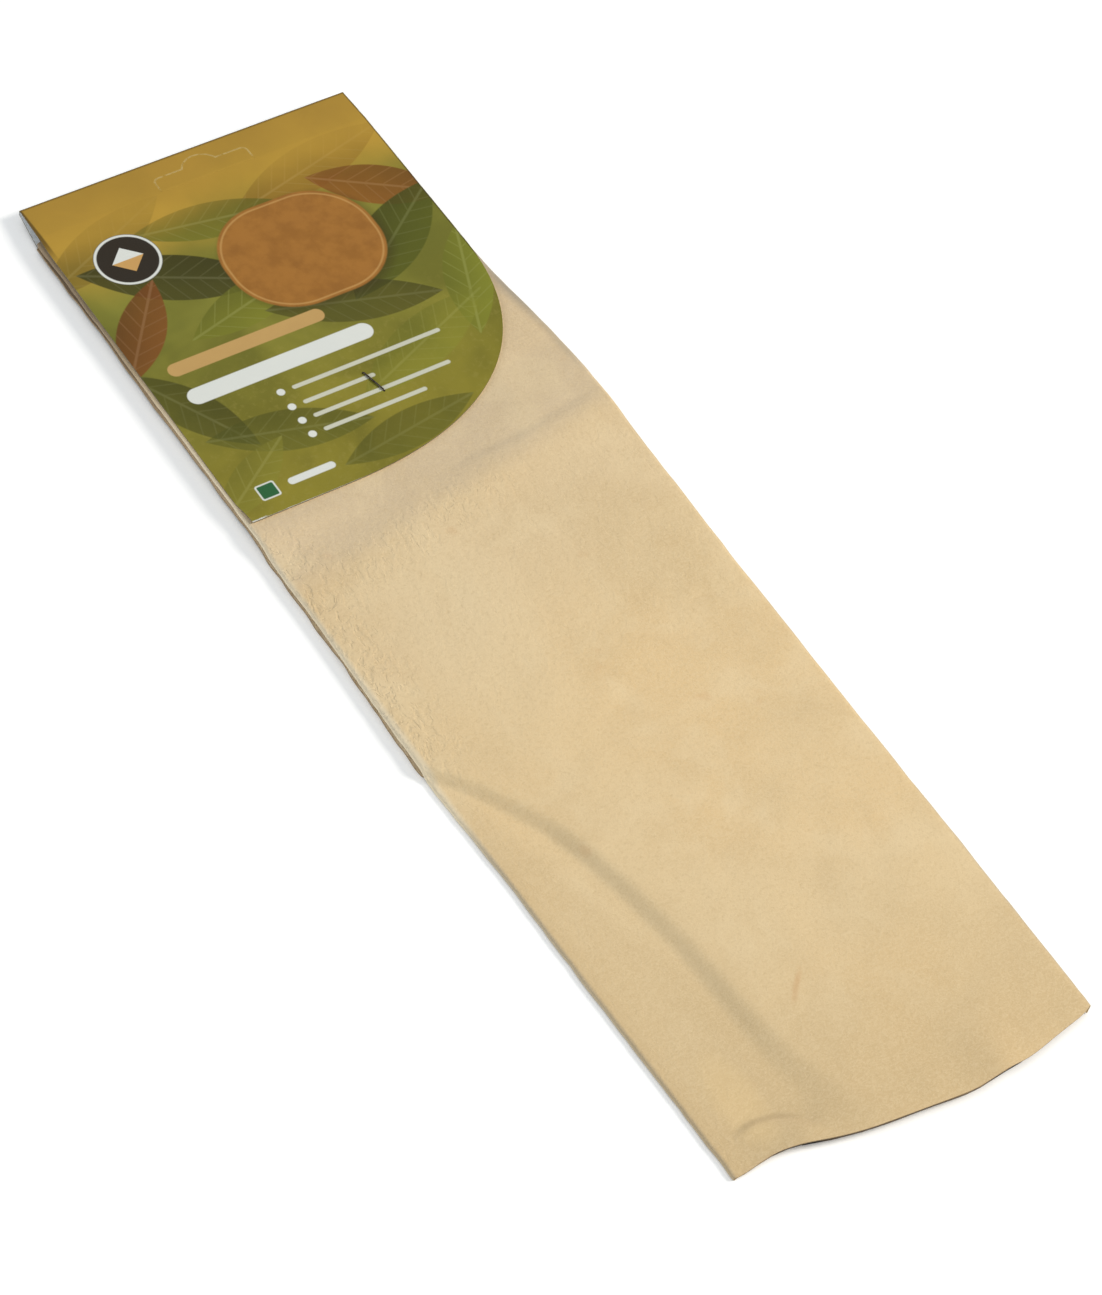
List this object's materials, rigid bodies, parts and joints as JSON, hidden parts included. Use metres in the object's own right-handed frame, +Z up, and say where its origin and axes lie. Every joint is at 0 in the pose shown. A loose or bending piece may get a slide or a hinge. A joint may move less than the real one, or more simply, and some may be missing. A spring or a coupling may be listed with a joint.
{
  "type": "chamois leather on header card",
  "caption": "Long strip of chamois skin folded lengthwise, stapled between the panels of a folded header card with a hang slot and a rounded lower corner.",
  "frame": {"origin": "middle of the base of the part as it lies on its back, with the printed panel up", "axes": "+Y along the strip towards the card's crease and hang slot, +Z up from the resting surface, +X across the strip to the side with the card's rounded corner"},
  "size_m": [0.1248, 0.4016, 0.0066],
  "materials": {
    "printed_board": "satin",
    "chamois": "matte",
    "staple_wire": "satin"
  },
  "bodies": {
    "pack": {"header_card": "printed_board", "chamois_skin": "chamois", "staple": "staple_wire"},
    "front_tab": {"front_hang_tab": "printed_board"},
    "back_tab": {"back_hang_tab": "printed_board"}
  },
  "joints": [
    {"name": "front_tab_fold", "type": "hinge", "parent": "pack", "child": "front_tab", "pos_m": [0.00008, 0.18736, 0.00483], "axis": [-1, 0, 0], "range_deg": [0, 60]},
    {"name": "back_tab_fold", "type": "hinge", "parent": "pack", "child": "back_tab", "pos_m": [0.00008, 0.18736, 0.00085], "axis": [-1, 0, 0], "range_deg": [0, 75]}
  ],
  "couplings": [
    {"joint": "back_tab_fold", "follows": "front_tab_fold", "ratio": 1.25}
  ]
}
